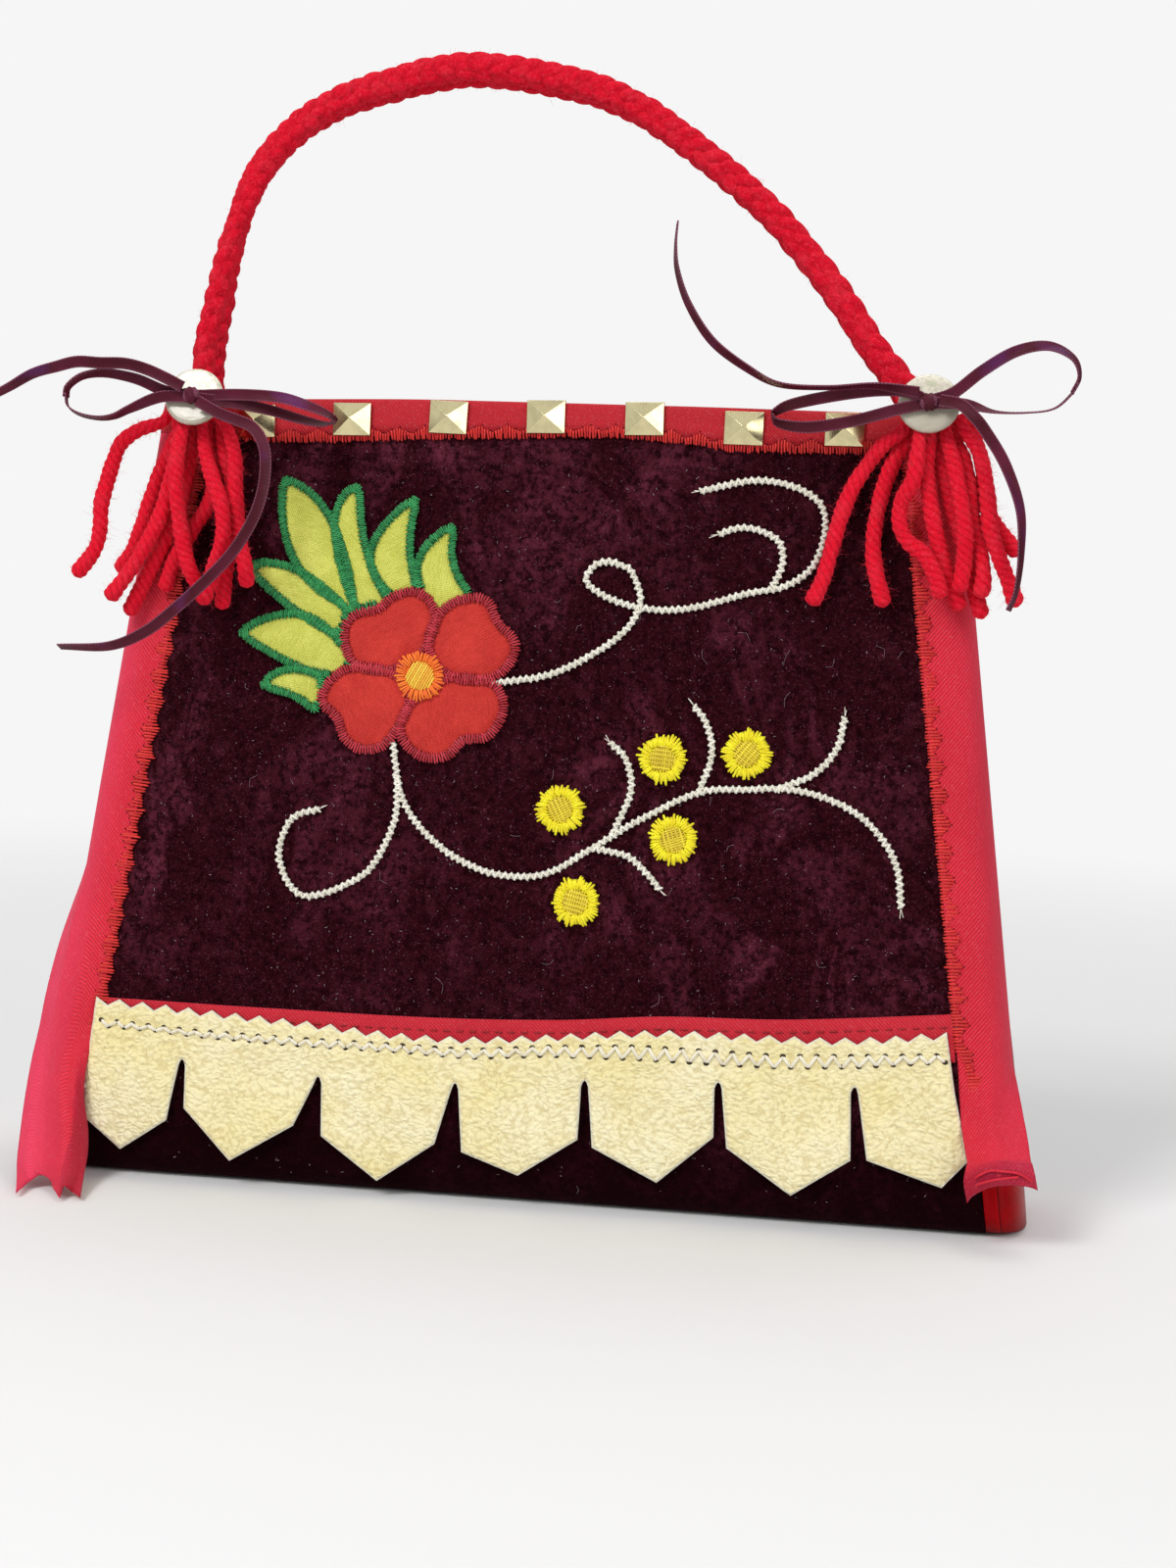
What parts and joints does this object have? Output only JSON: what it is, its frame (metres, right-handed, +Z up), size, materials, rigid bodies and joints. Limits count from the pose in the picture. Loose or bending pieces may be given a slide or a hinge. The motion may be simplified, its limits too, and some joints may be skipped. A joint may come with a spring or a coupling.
{
  "type": "velvet medicine bag",
  "caption": "Small tapered velvet handbag with rope handles, yarn tassels, shell buttons, ribbon bows, applique flower and a pointed leather fringe.",
  "frame": {"origin": "middle of the flat base, on the surface that the bag stands on", "axes": "+Z up, the worked front faces -Y, +X to the right of someone who looks at the front"},
  "size_m": [0.2758, 0.0799, 0.2935],
  "materials": {
    "velvet": "deep plum velvet with a crushed nap",
    "gusset_satin": "glossy deep red satin",
    "side_ribbon": "matt red twill ribbon",
    "binding_ribbon": "red ribbon, satin stitched along its edge",
    "rope_yarn": "red wool yarn wrapped into a rope",
    "tassel_yarn": "bright red plied yarn",
    "leather": "cream pebbled hide with pale cut edges",
    "stud_metal": "pale gold pyramid studs, polished",
    "shell": "cream mother of pearl, glossy",
    "bow_ribbon": "plum satin ribbon",
    "leaf_cloth": "yellow-green cotton",
    "leaf_thread": "green satin stitch",
    "petal_cloth": "brick red cotton",
    "petal_thread": "dark red satin stitch",
    "ring_thread": "orange satin stitch",
    "centre_thread": "amber satin stitch",
    "berry_thread": "yellow satin stitch",
    "stem_thread": "off-white satin stitch"
  },
  "bodies": {
    "root": {"berry_1": "berry_thread", "berry_2": "berry_thread", "berry_3": "berry_thread", "berry_4": "berry_thread", "berry_5": "berry_thread", "bow_left": "bow_ribbon", "bow_left_tail_down": "bow_ribbon", "bow_left_tail_out": "bow_ribbon", "bow_right": "bow_ribbon", "bow_right_tail_down": "bow_ribbon", "bow_right_tail_up": "bow_ribbon", "button_left": "shell", "button_right": "shell", "flower_centre": "centre_thread", "flower_ring": "ring_thread", "handle_front": "rope_yarn", "handle_rear": "rope_yarn", "hem_ribbon": "binding_ribbon", "leaf_border": "leaf_thread", "leaf_fabric": "leaf_cloth", "leather_fringe": "leather", "lower_stem": "stem_thread", "petal_border": "petal_thread", "petal_fabric": "petal_cloth", "side_gusset_left": "gusset_satin", "side_gusset_right": "gusset_satin", "side_ribbon_left": "side_ribbon", "side_ribbon_right": "side_ribbon", "stud_1": "stud_metal", "stud_2": "stud_metal", "stud_3": "stud_metal", "stud_4": "stud_metal", "stud_5": "stud_metal", "stud_6": "stud_metal", "stud_7": "stud_metal", "tassel_left_1": "tassel_yarn", "tassel_left_2": "tassel_yarn", "tassel_left_3": "tassel_yarn", "tassel_left_4": "tassel_yarn", "tassel_left_5": "tassel_yarn", "tassel_left_6": "tassel_yarn", "tassel_left_7": "tassel_yarn", "tassel_left_8": "tassel_yarn", "tassel_left_9": "tassel_yarn", "tassel_right_1": "tassel_yarn", "tassel_right_2": "tassel_yarn", "tassel_right_3": "tassel_yarn", "tassel_right_4": "tassel_yarn", "tassel_right_5": "tassel_yarn", "tassel_right_6": "tassel_yarn", "tassel_right_7": "tassel_yarn", "tassel_right_8": "tassel_yarn", "tassel_right_9": "tassel_yarn", "top_binding": "binding_ribbon", "upper_vine": "stem_thread", "velvet_body": "velvet"}
  },
  "joints": []
}
